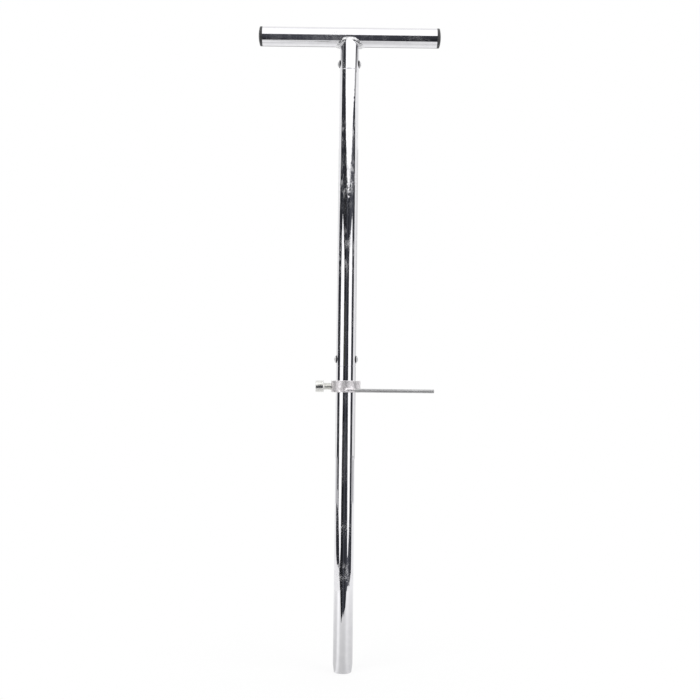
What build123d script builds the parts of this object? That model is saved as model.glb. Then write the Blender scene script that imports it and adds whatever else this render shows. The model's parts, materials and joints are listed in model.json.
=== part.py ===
from build123d import *
import os
from math import sqrt

# A sectional soil probe. A T-handle, an extension tube and a sampling tube of one
# drawn tube stand in line on Z. Each section carries a sleeve that slides into the
# section above and is locked there by two snap buttons on a V-shaped spring. A
# depth stop, a ring with a side rod, is clamped on the sampling tube by a screw.
# The origin is the centre of the cutting edge, and +X is the side of the rod.

# Drawn tube of the crossbar, the socket and both shaft sections
TUBE_OD = 22.0
TUBE_WALL = 1.5
SEAM_CHAMFER = 0.4

# Shaft sections
SAMPLING_LENGTH = 340.0
EXTENSION_LENGTH = 339.0
BEVEL_LENGTH = 9.0
BEVEL_BLEND = 20.0
EDGE_LAND = 0.2

# Window in the back of the sampling tube, where the core is seen and taken out
WINDOW_WIDTH = 12.0
WINDOW_LENGTH = 160.0
WINDOW_HEIGHT = 45.0

# Handle
CROSSBAR_LENGTH = 200.0
SOCKET_HEIGHT = 39.6
COPE_GAP = 0.1
COPE_TRIM = 4.6
WELD_RADIUS = 3.0
WELD_PROUD = 0.6
WELD_DROP = 5.4
WELD_LIFT = 1.2
WELD_SPREAD = 1.8

# End plugs of the crossbar
PLUG_EDGE = 2.9
PLUG_DOME = 1.7
PLUG_STEM_LENGTH = 16.0
PLUG_STEM_WALL = 1.6
PLUG_FIN_COUNT = 4
PLUG_FIN_DEPTH = 0.8
PLUG_CLEARANCE = 0.1

# Sleeves of the two joints, and the reamed ends of the tubes that they sit in
SLEEVE_WALL = 1.4
SLEEVE_SEATED = 40.0
SLEEVE_SPIGOT = 24.0
SLEEVE_CLEARANCE = 0.1
REAM_DEPTH = 0.3
REAM_RUNOUT = 1.0

# Snap buttons
BUTTON_DIAMETER = 9.0
BUTTON_PROUD = 2.5
BUTTON_ABOVE_SEAM = 8.0
BUTTON_CLEARANCE = 0.2
TUBE_HOLE_CLEARANCE = 0.7
TAIL_DIAMETER = 4.0
TAIL_HEAD_DIAMETER = 5.6
TAIL_HEAD_HEIGHT = 0.6
TAIL_CLEARANCE = 0.1

# V-shaped button spring
STRIP_WIDTH = 8.0
STRIP_THICKNESS = 0.8
STRIP_CLEARANCE = 0.1
LEG_ABOVE_BUTTON = 7.0
LEG_BELOW_BUTTON = 7.0
SPRING_DEPTH = 32.0
KNEE_RADIUS = 8.0
BEND_RADIUS = 2.0

# Depth stop
STOP_BELOW_SEAM = 16.3
COLLAR_WALL = 5.3
COLLAR_LENGTH = 13.0
COLLAR_CHAMFER = 0.4
COLLAR_CLEARANCE = 0.2
ROD_DIAMETER = 4.0
ROD_REACH = 98.0
ROD_LAP = 1.0
ROD_END_CHAMFER = 0.5
ROD_WELD_LENGTH = 13.0
ROD_WELD_DIAMETER = 6.0
ROD_WELD_TAPER = 2.0

# Clamp screw of the depth stop
SCREW_DIAMETER = 8.0
SCREW_LENGTH = 14.0
SCREW_TIP_CHAMFER = 1.0
SCREW_CLEARANCE = 0.05
HEAD_DIAMETER = 13.0
HEAD_LENGTH = 9.0
HEAD_CHAMFER = 0.6
HEX_WIDTH = 6.0
HEX_DEPTH = 4.5

# Gap that keeps touching round faces apart
SEAT_GAP = 0.05

# Radii and heights that follow from the sizes above
TUBE_R = TUBE_OD / 2
BORE_R = TUBE_R - TUBE_WALL
REAM_R = BORE_R + REAM_DEPTH
SLEEVE_R = REAM_R - SLEEVE_CLEARANCE
SLEEVE_BORE_R = SLEEVE_R - SLEEVE_WALL
LOWER_SEAM = SAMPLING_LENGTH
UPPER_SEAM = LOWER_SEAM + EXTENSION_LENGTH
CROSSBAR_HEIGHT = UPPER_SEAM + SOCKET_HEIGHT
BUTTON_R = BUTTON_DIAMETER / 2
COLLAR_BORE_R = TUBE_R + COLLAR_CLEARANCE
COLLAR_R = COLLAR_BORE_R + COLLAR_WALL
STOP_HEIGHT = LOWER_SEAM - STOP_BELOW_SEAM - COLLAR_LENGTH / 2
ROD_R = ROD_DIAMETER / 2
ROD_Y = -(COLLAR_R + SEAT_GAP + ROD_R)
ROD_HEIGHT = STOP_HEIGHT - COLLAR_LENGTH / 2 + ROD_R

# The strip's corners rest in the sleeve's bore, which puts its outer face here
STRIP_OUT = sqrt(SLEEVE_BORE_R**2 - (STRIP_WIDTH / 2) ** 2) - STRIP_CLEARANCE
STRIP_IN = STRIP_OUT - STRIP_THICKNESS

TOWARDS_RIGHT = Rot(0, 90, 0)
TOWARDS_LEFT = Rot(0, -90, 0)
HALF_TURN = 180


def turned(outline):
    """A solid of revolution about Z from an outline drawn as radius and height."""
    return revolve(Plane.XZ * make_face(outline), Axis.Z)


def ring(outer_radius, inner_radius, length):
    """A plain tube that stands on the XY plane."""
    base = Align.CENTER, Align.CENTER, Align.MIN
    return Cylinder(outer_radius, length, align=base) - Cylinder(inner_radius, length, align=base)


def shaft_ring(length):
    """A length of the drawn tube with both outer edges broken."""
    tube = ring(TUBE_R, BORE_R, length)
    edges = tube.edges().filter_by(GeomType.CIRCLE).filter_by(lambda edge: edge.radius > BORE_R)
    return chamfer(edges, SEAM_CHAMFER)


def button_holes(seam, clearance):
    """The two button holes above a seam, as one bar across the tube."""
    return Pos(0, 0, seam + BUTTON_ABOVE_SEAM) * TOWARDS_RIGHT * Cylinder(BUTTON_R + clearance, TUBE_OD)


def sleeve_seat(seam):
    """The reamed space for a sleeve in the two tubes that meet at a seam."""
    base = Align.CENTER, Align.CENTER, Align.MIN
    length = SLEEVE_SEATED + SLEEVE_SPIGOT + 2 * REAM_RUNOUT
    return Pos(0, 0, seam - SLEEVE_SEATED - REAM_RUNOUT) * Cylinder(REAM_R, length, align=base)


def crossbar_bar(radius):
    """A solid bar along the crossbar's axis."""
    return Pos(0, 0, CROSSBAR_HEIGHT) * TOWARDS_RIGHT * Cylinder(radius, CROSSBAR_LENGTH)


def crossbar_tube():
    """The crossbar, a straight piece of tube."""
    return crossbar_bar(TUBE_R) - crossbar_bar(BORE_R)


def end_plug():
    """A plug on Z: domed head above the tube's end, finned hollow stem below it."""
    stem_radius = BORE_R - PLUG_CLEARANCE - PLUG_FIN_DEPTH
    fin_radius = stem_radius + PLUG_FIN_DEPTH
    hollow_radius = stem_radius - PLUG_STEM_WALL
    fin_pitch = PLUG_STEM_LENGTH / PLUG_FIN_COUNT
    dome_radius = (TUBE_R**2 + PLUG_DOME**2) / (2 * PLUG_DOME)
    stem = [(TUBE_R, PLUG_EDGE), (TUBE_R, 0), (stem_radius, 0)]
    for index in range(PLUG_FIN_COUNT):
        top = -fin_pitch * (index + 0.5)
        stem += [(stem_radius, top), (fin_radius, top), (stem_radius, top - fin_pitch / 2)]
    inside = [(hollow_radius, -PLUG_STEM_LENGTH), (hollow_radius, 0), (0, 0), (0, PLUG_EDGE + PLUG_DOME)]
    dome = RadiusArc((0, PLUG_EDGE + PLUG_DOME), (TUBE_R, PLUG_EDGE), dome_radius)
    return turned(Polyline(*stem, *inside) + dome)


def handle_socket():
    """The short tube under the crossbar, coped to it with trimmed tips, reamed and drilled."""
    tube = Pos(0, 0, UPPER_SEAM) * ring(TUBE_R, BORE_R, SOCKET_HEIGHT - COPE_TRIM)
    mouth = tube.edges().filter_by(GeomType.CIRCLE).filter_by(lambda edge: edge.radius > BORE_R)
    tube = chamfer(mouth.sort_by(Axis.Z)[0], SEAM_CHAMFER)
    joint = sleeve_seat(UPPER_SEAM) + button_holes(UPPER_SEAM, TUBE_HOLE_CLEARANCE)
    return tube - crossbar_bar(TUBE_R + COPE_GAP) - joint


def handle_weld():
    """The weld bead, which fills the trimmed tips in front and spreads under the crossbar at the sides."""
    front = TUBE_R + WELD_PROUD - WELD_RADIUS
    side = TUBE_R + WELD_SPREAD
    fall = (TUBE_R - WELD_LIFT - WELD_DROP) / side
    slope = Plane((0, 0, CROSSBAR_HEIGHT - WELD_DROP), x_dir=(1, 0, -fall), z_dir=(fall, 0, 1))
    path = slope * EllipticalCenterArc((0, 0), side * sqrt(1 + fall**2), front, -90, arc_size=HALF_TURN)
    half = sweep(Plane(path @ 0, z_dir=path % 0) * Circle(WELD_RADIUS), path)
    bead = half + mirror(half, Plane.YZ)
    for end in (path @ 0, path @ 1):
        bead += Pos(*end) * Sphere(WELD_RADIUS)
    below = Align.CENTER, Align.CENTER, Align.MAX
    socket_top = Pos(0, 0, CROSSBAR_HEIGHT - COPE_TRIM + SEAT_GAP)
    socket_bar = socket_top * Cylinder(TUBE_R + SEAT_GAP, SOCKET_HEIGHT, align=below)
    return bead - crossbar_bar(TUBE_R + SEAT_GAP) - socket_bar


def joint_sleeve(seam):
    """The sleeve that joins two sections at a seam."""
    length = SLEEVE_SEATED + SLEEVE_SPIGOT
    sleeve = Pos(0, 0, seam - SLEEVE_SEATED) * ring(SLEEVE_R, SLEEVE_BORE_R, length)
    return sleeve - button_holes(seam, BUTTON_CLEARANCE)


def button_spring(seam):
    """The V-shaped strip that pushes the two buttons of a joint apart."""
    centre = seam + BUTTON_ABOVE_SEAM
    leg = STRIP_OUT - STRIP_THICKNESS / 2
    right = [(leg, centre + LEG_ABOVE_BUTTON), (leg, centre - LEG_BELOW_BUTTON)]
    left = [(-x, z) for x, z in reversed(right)]
    bend = (0, centre - SPRING_DEPTH)
    line = FilletPolyline(*right, bend, *left, radius=[KNEE_RADIUS, BEND_RADIUS, KNEE_RADIUS])
    strip = extrude(Plane.XZ * trace(line, STRIP_THICKNESS), STRIP_WIDTH / 2, both=True)
    tail_holes = Cylinder(TAIL_DIAMETER / 2 + TAIL_CLEARANCE, TUBE_OD)
    return strip - Pos(0, 0, centre) * TOWARDS_RIGHT * tail_holes


def snap_button():
    """A button on Z, with its height counted from the shaft's axis."""
    dome_radius = (BUTTON_R**2 + BUTTON_PROUD**2) / (2 * BUTTON_PROUD)
    top = TUBE_R + BUTTON_PROUD
    tail_end = STRIP_IN - TAIL_HEAD_HEIGHT
    side = [
        (BUTTON_R, TUBE_R),
        (BUTTON_R, STRIP_OUT),
        (TAIL_DIAMETER / 2, STRIP_OUT),
        (TAIL_DIAMETER / 2, STRIP_IN),
        (TAIL_HEAD_DIAMETER / 2, STRIP_IN),
        (TAIL_HEAD_DIAMETER / 2, tail_end),
        (0, tail_end),
        (0, top),
    ]
    return turned(Polyline(*side) + RadiusArc((0, top), (BUTTON_R, TUBE_R), dome_radius))


def extension_tube():
    """The upper shaft section, reamed at both ends and drilled at its foot for the buttons."""
    tube = Pos(0, 0, LOWER_SEAM) * shaft_ring(EXTENSION_LENGTH)
    seats = sleeve_seat(UPPER_SEAM) + sleeve_seat(LOWER_SEAM)
    return tube - seats - button_holes(LOWER_SEAM, TUBE_HOLE_CLEARANCE)


def sampling_tube():
    """The lower shaft section with its cutting edge and its window."""
    outline = Polyline(
        (BORE_R, 0),
        (BORE_R + EDGE_LAND, 0),
        (TUBE_R, BEVEL_LENGTH),
        (TUBE_R, SAMPLING_LENGTH - SEAM_CHAMFER),
        (TUBE_R - SEAM_CHAMFER, SAMPLING_LENGTH),
        (BORE_R, SAMPLING_LENGTH),
        close=True,
    )
    wall = make_face(outline)
    shoulder = wall.vertices().sort_by(lambda corner: abs(corner.Y - BEVEL_LENGTH))[0]
    tube = revolve(Plane.XZ * fillet(shoulder, BEVEL_BLEND), Axis.Z)
    back = Plane((0, 0, WINDOW_HEIGHT + WINDOW_LENGTH / 2), x_dir=(0, 0, 1), z_dir=(0, 1, 0))
    window = extrude(back * SlotOverall(WINDOW_LENGTH, WINDOW_WIDTH), TUBE_OD)
    return tube - window - sleeve_seat(LOWER_SEAM)


def stop_collar():
    """The ring of the depth stop, with the screw's hole in its left wall."""
    blank = ring(COLLAR_R, COLLAR_BORE_R, COLLAR_LENGTH)
    blank = chamfer(blank.edges().filter_by(GeomType.CIRCLE), COLLAR_CHAMFER)
    depth = Align.CENTER, Align.CENTER, Align.MIN
    hole = TOWARDS_LEFT * Cylinder(SCREW_DIAMETER / 2 + SCREW_CLEARANCE, COLLAR_R * 2, align=depth)
    return Pos(0, 0, STOP_HEIGHT) * (Pos(0, 0, -COLLAR_LENGTH / 2) * blank - hole)


def stop_rod():
    """The rod that lies across the front of the ring, flush with its underside."""
    base = Align.CENTER, Align.CENTER, Align.MIN
    rod = Cylinder(ROD_R, ROD_REACH - ROD_LAP, align=base)
    rod = chamfer(rod.edges().filter_by(GeomType.CIRCLE), ROD_END_CHAMFER)
    return Pos(ROD_LAP, ROD_Y, ROD_HEIGHT) * TOWARDS_RIGHT * rod


def stop_rod_weld():
    """The weld in the wedge between rod and ring, a tapered bead cut by both."""
    bead = Cylinder(ROD_WELD_DIAMETER / 2, ROD_WELD_LENGTH)
    bead = chamfer(bead.edges().filter_by(GeomType.CIRCLE), ROD_WELD_TAPER)
    bead = Pos(ROD_LAP + ROD_WELD_LENGTH / 4, ROD_Y + ROD_R / 2, ROD_HEIGHT) * TOWARDS_RIGHT * bead
    below = Align.CENTER, Align.CENTER, Align.MAX
    under_ring = Pos(0, 0, ROD_HEIGHT - ROD_R) * Cylinder(COLLAR_R * 2, COLLAR_R, align=below)
    ring_bar = Pos(0, 0, STOP_HEIGHT) * Cylinder(COLLAR_R + SEAT_GAP, COLLAR_R)
    base = Align.CENTER, Align.CENTER, Align.MIN
    rod_bar = TOWARDS_RIGHT * Cylinder(ROD_R + SEAT_GAP, ROD_REACH, align=base)
    return bead - under_ring - ring_bar - Pos(ROD_LAP - SEAT_GAP, ROD_Y, ROD_HEIGHT) * rod_bar


def stop_screw():
    """The clamp screw, drawn on Z with its tip at the shaft, then laid to the left."""
    base = Align.CENTER, Align.CENTER, Align.MIN
    shank = Cylinder(SCREW_DIAMETER / 2, SCREW_LENGTH, align=base)
    shank = chamfer(shank.edges().filter_by(GeomType.CIRCLE).sort_by(Axis.Z)[0], SCREW_TIP_CHAMFER)
    head = Pos(0, 0, SCREW_LENGTH) * Cylinder(HEAD_DIAMETER / 2, HEAD_LENGTH, align=base)
    head = chamfer(head.edges().filter_by(GeomType.CIRCLE).sort_by(Axis.Z)[-1], HEAD_CHAMFER)
    key = RegularPolygon(HEX_WIDTH / 2, 6, major_radius=False)
    socket = extrude(Pos(0, 0, SCREW_LENGTH + HEAD_LENGTH) * key, -HEX_DEPTH)
    screw = Pos(0, 0, TUBE_R + SEAT_GAP) * (shank + head - socket)
    return Pos(0, 0, STOP_HEIGHT) * TOWARDS_LEFT * screw


def probe():
    """Every piece of the probe at its place, by name."""
    plug = Pos(0, 0, CROSSBAR_LENGTH / 2) * end_plug()
    at_crossbar = Pos(0, 0, CROSSBAR_HEIGHT)
    pieces = {
        "crossbar_tube": crossbar_tube(),
        "left_end_plug": at_crossbar * TOWARDS_LEFT * plug,
        "right_end_plug": at_crossbar * TOWARDS_RIGHT * plug,
        "handle_socket": handle_socket(),
        "handle_weld": handle_weld(),
        "extension_tube": extension_tube(),
        "sampling_tube": sampling_tube(),
        "stop_collar": stop_collar(),
        "stop_rod": stop_rod(),
        "stop_rod_weld": stop_rod_weld(),
        "stop_screw": stop_screw(),
    }
    for joint, seam in {"upper": UPPER_SEAM, "lower": LOWER_SEAM}.items():
        at_button = Pos(0, 0, seam + BUTTON_ABOVE_SEAM)
        pieces[f"{joint}_sleeve"] = joint_sleeve(seam)
        pieces[f"{joint}_button_spring"] = button_spring(seam)
        pieces[f"{joint}_left_button"] = at_button * TOWARDS_LEFT * snap_button()
        pieces[f"{joint}_right_button"] = at_button * TOWARDS_RIGHT * snap_button()
    return pieces


os.makedirs("parts", exist_ok=True)
for name, piece in probe().items():
    export_step(piece, f"parts/{name}.step")
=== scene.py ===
"""Dress the sectional soil probe and light it in a plain white studio."""

import json
import logging
import math
import random
from dataclasses import dataclass
from enum import Enum
from typing import Callable, Sequence

import bmesh
import bpy
from mathutils import Matrix, Vector

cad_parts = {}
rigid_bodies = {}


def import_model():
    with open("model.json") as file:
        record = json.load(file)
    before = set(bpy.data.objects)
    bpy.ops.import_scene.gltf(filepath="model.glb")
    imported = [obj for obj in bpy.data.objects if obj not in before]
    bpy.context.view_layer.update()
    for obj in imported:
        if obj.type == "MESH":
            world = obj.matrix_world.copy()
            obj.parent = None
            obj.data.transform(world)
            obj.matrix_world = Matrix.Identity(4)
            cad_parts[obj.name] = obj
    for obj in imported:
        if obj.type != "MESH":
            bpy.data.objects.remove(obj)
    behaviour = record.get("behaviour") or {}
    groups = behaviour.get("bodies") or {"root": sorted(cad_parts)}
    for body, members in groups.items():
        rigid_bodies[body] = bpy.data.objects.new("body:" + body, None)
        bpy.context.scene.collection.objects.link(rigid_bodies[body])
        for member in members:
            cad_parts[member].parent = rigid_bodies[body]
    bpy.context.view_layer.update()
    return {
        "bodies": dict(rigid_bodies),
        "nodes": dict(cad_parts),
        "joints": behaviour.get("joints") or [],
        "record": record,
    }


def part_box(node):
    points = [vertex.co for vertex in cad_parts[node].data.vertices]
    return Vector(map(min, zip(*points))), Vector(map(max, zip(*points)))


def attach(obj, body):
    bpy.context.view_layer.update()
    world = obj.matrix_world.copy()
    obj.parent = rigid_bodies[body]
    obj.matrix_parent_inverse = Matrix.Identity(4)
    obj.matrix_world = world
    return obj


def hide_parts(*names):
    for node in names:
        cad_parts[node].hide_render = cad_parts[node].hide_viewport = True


LOG = logging.getLogger("soil_probe")
MM = 0.001
CREASE = 35.0

Point2 = tuple[float, float]
Colour = tuple[float, float, float]
Box = tuple[Vector, Vector]
Socket = bpy.types.NodeSocket
Source = Socket | float | tuple[float, ...]

WHITE: Colour = (1.0, 1.0, 1.0)


class Lay(Enum):
    """Direction of the fine lines that drawing or polishing leaves, as the stretch of their noise."""

    SHAFT = (1.0, 1.0, 0.012)
    CROSSBAR = (0.012, 1.0, 1.0)
    NONE = (1.0, 1.0, 1.0)


class Side(Enum):
    """Left and right of the probe, as the camera sees it."""

    LEFT = -1
    RIGHT = 1

    @property
    def label(self) -> str:
        """The side's word in the names of pieces."""
        return self.name.lower()


# Meshes


def link(obj: bpy.types.Object) -> bpy.types.Object:
    """Put an object into the scene and hand it back."""
    bpy.context.scene.collection.objects.link(obj)
    return obj


def mesh_object(
    name: str, vertices: Sequence[Vector], faces: Sequence[Sequence[int]], crease: float = CREASE
) -> bpy.types.Object:
    """Make a mesh object that is smooth except at its creases.

    Args:
        name: Name of the object and its mesh.
        vertices: Corner points in metres, in the probe's frame.
        faces: Corner indices of each face.
        crease: Angle between faces, in degrees, above which an edge stays sharp.

    Returns:
        The new object, linked into the scene.
    """
    mesh = bpy.data.meshes.new(name)
    mesh.from_pydata([tuple(v) for v in vertices], [], [tuple(f) for f in faces])
    mesh.validate()
    mesh.update()
    mesh.shade_smooth()
    mesh.set_sharp_from_angle(angle=math.radians(crease))
    return link(bpy.data.objects.new(name, mesh))


def face_outwards(obj: bpy.types.Object) -> None:
    """Turn all faces of a closed mesh to the outside.

    Args:
        obj: The mesh object.
    """
    shape = bmesh.new()
    shape.from_mesh(obj.data)
    bmesh.ops.recalc_face_normals(shape, faces=shape.faces)
    shape.to_mesh(obj.data)
    shape.free()


def ring_mesh(
    name: str, rings: Sequence[Sequence[Vector]], looped: bool = False, crease: float = CREASE
) -> bpy.types.Object:
    """Skin a row of point rings into one closed surface.

    Args:
        name: Name of the new object.
        rings: Rings of points, all with the same count. A ring of one point closes an end.
        looped: Whether the last ring joins the first one.
        crease: Angle, in degrees, above which an edge stays sharp.

    Returns:
        The new object, linked into the scene.
    """
    vertices: list[Vector] = []
    starts: list[int] = []
    for ring in rings:
        starts.append(len(vertices))
        vertices.extend(ring)
    faces: list[tuple[int, ...]] = []
    for here in range(len(rings) if looped else len(rings) - 1):
        there = (here + 1) % len(rings)
        near, far = starts[here], starts[there]
        count = max(len(rings[here]), len(rings[there]))
        for k in range(count):
            after = (k + 1) % count
            if len(rings[here]) == 1:
                faces.append((near, far + after, far + k))
            elif len(rings[there]) == 1:
                faces.append((near + k, near + after, far))
            else:
                faces.append((near + k, near + after, far + after, far + k))
    obj = mesh_object(name, vertices, faces, crease)
    face_outwards(obj)
    return obj


def lathe(
    name: str,
    profile: Sequence[Point2],
    place: Matrix,
    count: int = 96,
    swell: Callable[[int, float], float] | None = None,
    crease: float = CREASE,
) -> bpy.types.Object:
    """Turn a profile about Z and set the result in place.

    Args:
        name: Name of the new object.
        profile: Radius and height of each station, in metres. A radius of zero closes an end.
        place: Transform from the lathe's Z axis to the probe's frame.
        count: Points around the axis.
        swell: Radius to use at a station and angle, where it isn't round.
        crease: Angle, in degrees, above which an edge stays sharp.

    Returns:
        The new object, linked into the scene.
    """
    rings: list[list[Vector]] = []
    for station, (radius, height) in enumerate(profile):
        if radius == 0.0:
            rings.append([place @ Vector((0.0, 0.0, height))])
            continue
        ring = []
        for k in range(count):
            angle = math.tau * k / count
            reach = swell(station, angle) if swell else radius
            ring.append(place @ Vector((reach * math.cos(angle), reach * math.sin(angle), height)))
        rings.append(ring)
    return ring_mesh(name, rings, crease=crease)


def lying(box: Box, foot: float, side: Side) -> Matrix:
    """Lay the lathe's axis along the crossbar's direction, through the middle of a box.

    Args:
        box: Lowest and highest corner of what lies on the axis.
        foot: Place of the axis's start along X.
        side: The side that it points to.

    Returns:
        The transform from the lathe to the probe's frame.
    """
    middle = (box[0] + box[1]) / 2
    turn = Matrix.Rotation(side.value * math.pi / 2, 4, "Y")
    return Matrix.Translation(Vector((foot, middle.y, middle.z))) @ turn


def rounded_corner(
    corner: Point2, before: Point2, after: Point2, radius: float, steps: int = 5
) -> list[Point2]:
    """Round a corner of a profile.

    Args:
        corner: The corner itself.
        before: Profile point ahead of it.
        after: Profile point behind it.
        radius: Distance from the corner at which the rounding starts and ends.
        steps: Number of points on the rounding.

    Returns:
        Points of a smooth curve in place of the corner.
    """
    tip, start, end = Vector(corner), Vector(before), Vector(after)
    first = tip + (start - tip).normalized() * radius
    last = tip + (end - tip).normalized() * radius
    curve = []
    for k in range(steps):
        t = k / (steps - 1)
        p = first * (1 - t) ** 2 + tip * 2 * t * (1 - t) + last * t**2
        curve.append((p.x, p.y))
    return curve


def draw_phases(seed: int, count: int) -> list[float]:
    """Draw the phases of a weld's unevenness.

    Args:
        seed: Seed of the draw.
        count: Number of phases.

    Returns:
        Angles up to a full turn.
    """
    noise = random.Random(seed)
    return [noise.uniform(0.0, math.tau) for _ in range(count)]


def read_waves(
    counts: Sequence[Point2], phases: Sequence[float], angle: float, along: float = 0.0
) -> list[float]:
    """Read the waves of a weld's unevenness at one point.

    Args:
        counts: Waves of each kind around the weld, and radians of it along the weld.
        phases: Phase of each kind.
        angle: Angle of the point around the weld.
        along: Share of the way along the weld.

    Returns:
        Height of each wave, from -1 to 1.
    """
    return [math.sin(n * angle + m * along + phase) for (n, m), phase in zip(counts, phases)]


def along_stops(stops: Sequence[Point2], at: float) -> float:
    """Read a value off a broken line.

    Args:
        stops: Places and values, by rising place.
        at: The place to read.

    Returns:
        The value there, or that of the nearer end.
    """
    for (low, first), (high, second) in zip(stops, stops[1:]):
        if at <= high:
            share = max(0.0, (at - low) / (high - low))
            return first + (second - first) * share
    return stops[-1][1]


# Materials


class Nodes:
    """A small hand for wiring a node tree."""

    def __init__(self, tree: bpy.types.NodeTree) -> None:
        """Keep the tree that is wired."""
        self.tree = tree

    def fill(self, node: bpy.types.Node, inputs: dict[str | int, Source]) -> None:
        """Link inputs of a node to other sockets, or set them to plain values.

        Args:
            node: The node.
            inputs: Socket, number, vector or colour for each input, by the input's name or number.
        """
        for key, source in inputs.items():
            socket = node.inputs[key]
            if isinstance(source, Socket):
                self.tree.links.new(source, socket)
            elif socket.type == "RGBA":
                socket.default_value = (*source, 1.0)
            else:
                socket.default_value = source

    def add(
        self, kind: str, inputs: dict[str | int, Source] | None = None, **settings: object
    ) -> bpy.types.Node:
        """Add a node.

        Args:
            kind: Blender's name of the node type.
            inputs: What its inputs are filled with.
            settings: Attributes of the node, set before its inputs.

        Returns:
            The new node.
        """
        node = self.tree.nodes.new(kind)
        for key, value in settings.items():
            setattr(node, key, value)
        self.fill(node, inputs or {})
        return node

    def place(self) -> Socket:
        """Coordinates of the surface in the probe's frame."""
        return self.add("ShaderNodeTexCoord").outputs["Object"]

    def math(self, operation: str, *values: Source, clamp: bool = False) -> Socket:
        """Calculate with up to three values.

        Args:
            operation: Blender's name of the operation.
            values: Values or sockets, in the operation's order.
            clamp: Whether the result stays between 0 and 1.

        Returns:
            The result's socket.
        """
        inputs = dict(enumerate(values))
        return self.add("ShaderNodeMath", inputs, operation=operation, use_clamp=clamp).outputs[0]

    def total(self, base: Source, *terms: tuple[Socket, float]) -> Source:
        """Add weighted masks to a value.

        Args:
            base: Value or socket to start from.
            terms: Masks and their weights. A mask without weight is left out.

        Returns:
            The sum's socket, or the base where nothing is added to it.
        """
        for mask, weight in terms:
            if weight:
                base = self.math("MULTIPLY_ADD", mask, weight, base)
        return base

    def ramp(self, value: Source, low: float, high: float) -> Socket:
        """Stretch a range of values to 0 and 1, with eased ends.

        Args:
            value: Value or socket.
            low: Where the result is 0.
            high: Where the result is 1.

        Returns:
            The result's socket.
        """
        inputs = {"Value": value, "From Min": low, "From Max": high}
        return self.add("ShaderNodeMapRange", inputs, interpolation_type="SMOOTHSTEP").outputs["Result"]

    def mix(self, share: Source, first: Source, second: Source) -> Socket:
        """Blend two colours.

        Args:
            share: Share of the second colour.
            first: Colour or socket.
            second: Colour or socket.

        Returns:
            The result's socket.
        """
        # The node's colour sockets go by number, because their names repeat.
        inputs = {0: share, 6: first, 7: second}
        return self.add("ShaderNodeMix", inputs, data_type="RGBA").outputs[2]

    def stretch(self, place: Socket, by: Source) -> Socket:
        """Stretch coordinates.

        Args:
            place: The coordinates.
            by: Factor along each axis, as a vector or socket.

        Returns:
            The new coordinates' socket.
        """
        return self.add("ShaderNodeVectorMath", {0: place, 1: by}, operation="MULTIPLY").outputs["Vector"]

    def noise(self, place: Socket, scale: Source, detail: float = 2.0, rough: float = 0.5) -> Socket:
        """Lay noise over a surface.

        Args:
            place: Coordinates.
            scale: Grains per metre.
            detail: Octaves.
            rough: Weight of the finer octaves.

        Returns:
            The noise value's socket.
        """
        inputs = {"Vector": place, "Scale": scale, "Detail": detail, "Roughness": rough}
        return self.add("ShaderNodeTexNoise", inputs).outputs["Fac"]

    def bump(self, shader: bpy.types.Node, height: Source, depth: float) -> None:
        """Give a shader's surface its relief.

        Args:
            shader: The shader.
            height: Heights, where 1 is the full depth.
            depth: Depth of the relief, in metres.
        """
        bump = self.add("ShaderNodeBump", {"Distance": depth, "Height": height})
        self.fill(shader, {"Normal": bump.outputs["Normal"]})


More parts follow.
